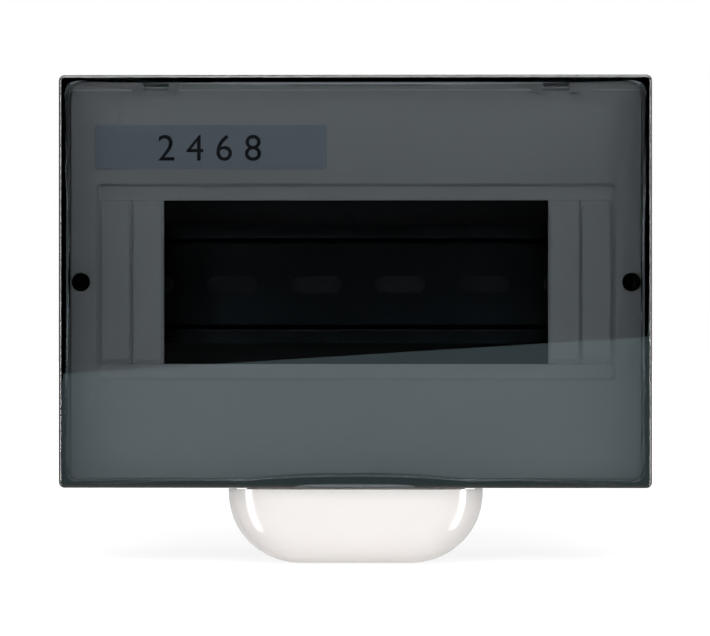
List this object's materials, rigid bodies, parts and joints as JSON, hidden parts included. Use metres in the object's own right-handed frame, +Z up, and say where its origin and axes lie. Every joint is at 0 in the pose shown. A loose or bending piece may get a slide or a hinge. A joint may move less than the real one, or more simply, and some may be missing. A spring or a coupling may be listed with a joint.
{
  "type": "breaker panel box",
  "caption": "Breaker panel box with a smoked top-hinged door, white cover with device window and blanks, thumb lip, mounting rail and terminal bars.",
  "frame": {"origin": "on the outer face of the back wall, at the centre of the four wall-screw holes", "axes": "+Z up, the door faces -Y, +X is right when facing the door"},
  "size_m": [0.165, 0.0777, 0.136],
  "materials": {
    "box_plastic": "fine spark-eroded texture, near black",
    "cover_plastic": "fine satin texture, white",
    "lip_plastic": "polished, warm white",
    "smoked_plastic": "clear smoked, polished",
    "label": "printed vinyl, satin",
    "zinc_steel": "bright zinc plate",
    "rail_steel": "roll formed, black passivated zinc",
    "black_steel": "black zinc plate",
    "pin_steel": "drawn wire",
    "nickel_screw": "nickel plate",
    "brass": "extruded, machined ends",
    "blue_plastic": "satin moulded",
    "green_plastic": "satin moulded"
  },
  "bodies": {
    "back_box": {"back_box": "box_plastic", "din_rail": "rail_steel", "rail_screws": "zinc_steel", "neutral_carrier": "blue_plastic", "neutral_bar": "brass", "neutral_screws": "nickel_screw", "earth_carrier": "green_plastic", "earth_bar": "brass", "earth_screws": "nickel_screw"},
    "front_cover": {"front_cover": "cover_plastic", "thumb_lip": "lip_plastic", "label_strip": "label", "blank_left_outer": "cover_plastic", "blank_left_inner": "cover_plastic", "blank_right_inner": "cover_plastic", "blank_right_outer": "cover_plastic", "hinge_pin_left": "pin_steel", "hinge_pin_right": "pin_steel"},
    "cover_screw_left": {"cover_screw_left": "black_steel"},
    "cover_screw_right": {"cover_screw_right": "black_steel"},
    "door": {"door": "smoked_plastic"}
  },
  "joints": [
    {"name": "cover_lift", "type": "slide", "parent": "back_box", "child": "front_cover", "axis": [0, -1, 0], "range_m": [0, 0.045]},
    {"name": "screw_turn_left", "type": "hinge", "parent": "front_cover", "child": "cover_screw_left", "pos_m": [-0.0774, -0.047, 0], "axis": [0, -1, 0], "continuous": true},
    {"name": "screw_turn_right", "type": "hinge", "parent": "front_cover", "child": "cover_screw_right", "pos_m": [0.0774, -0.047, 0], "axis": [0, -1, 0], "continuous": true},
    {"name": "door_hinge", "type": "hinge", "parent": "front_cover", "child": "door", "pos_m": [0, -0.0598, 0.056], "axis": [-1, 0, 0], "range_deg": [0, 100]}
  ]
}
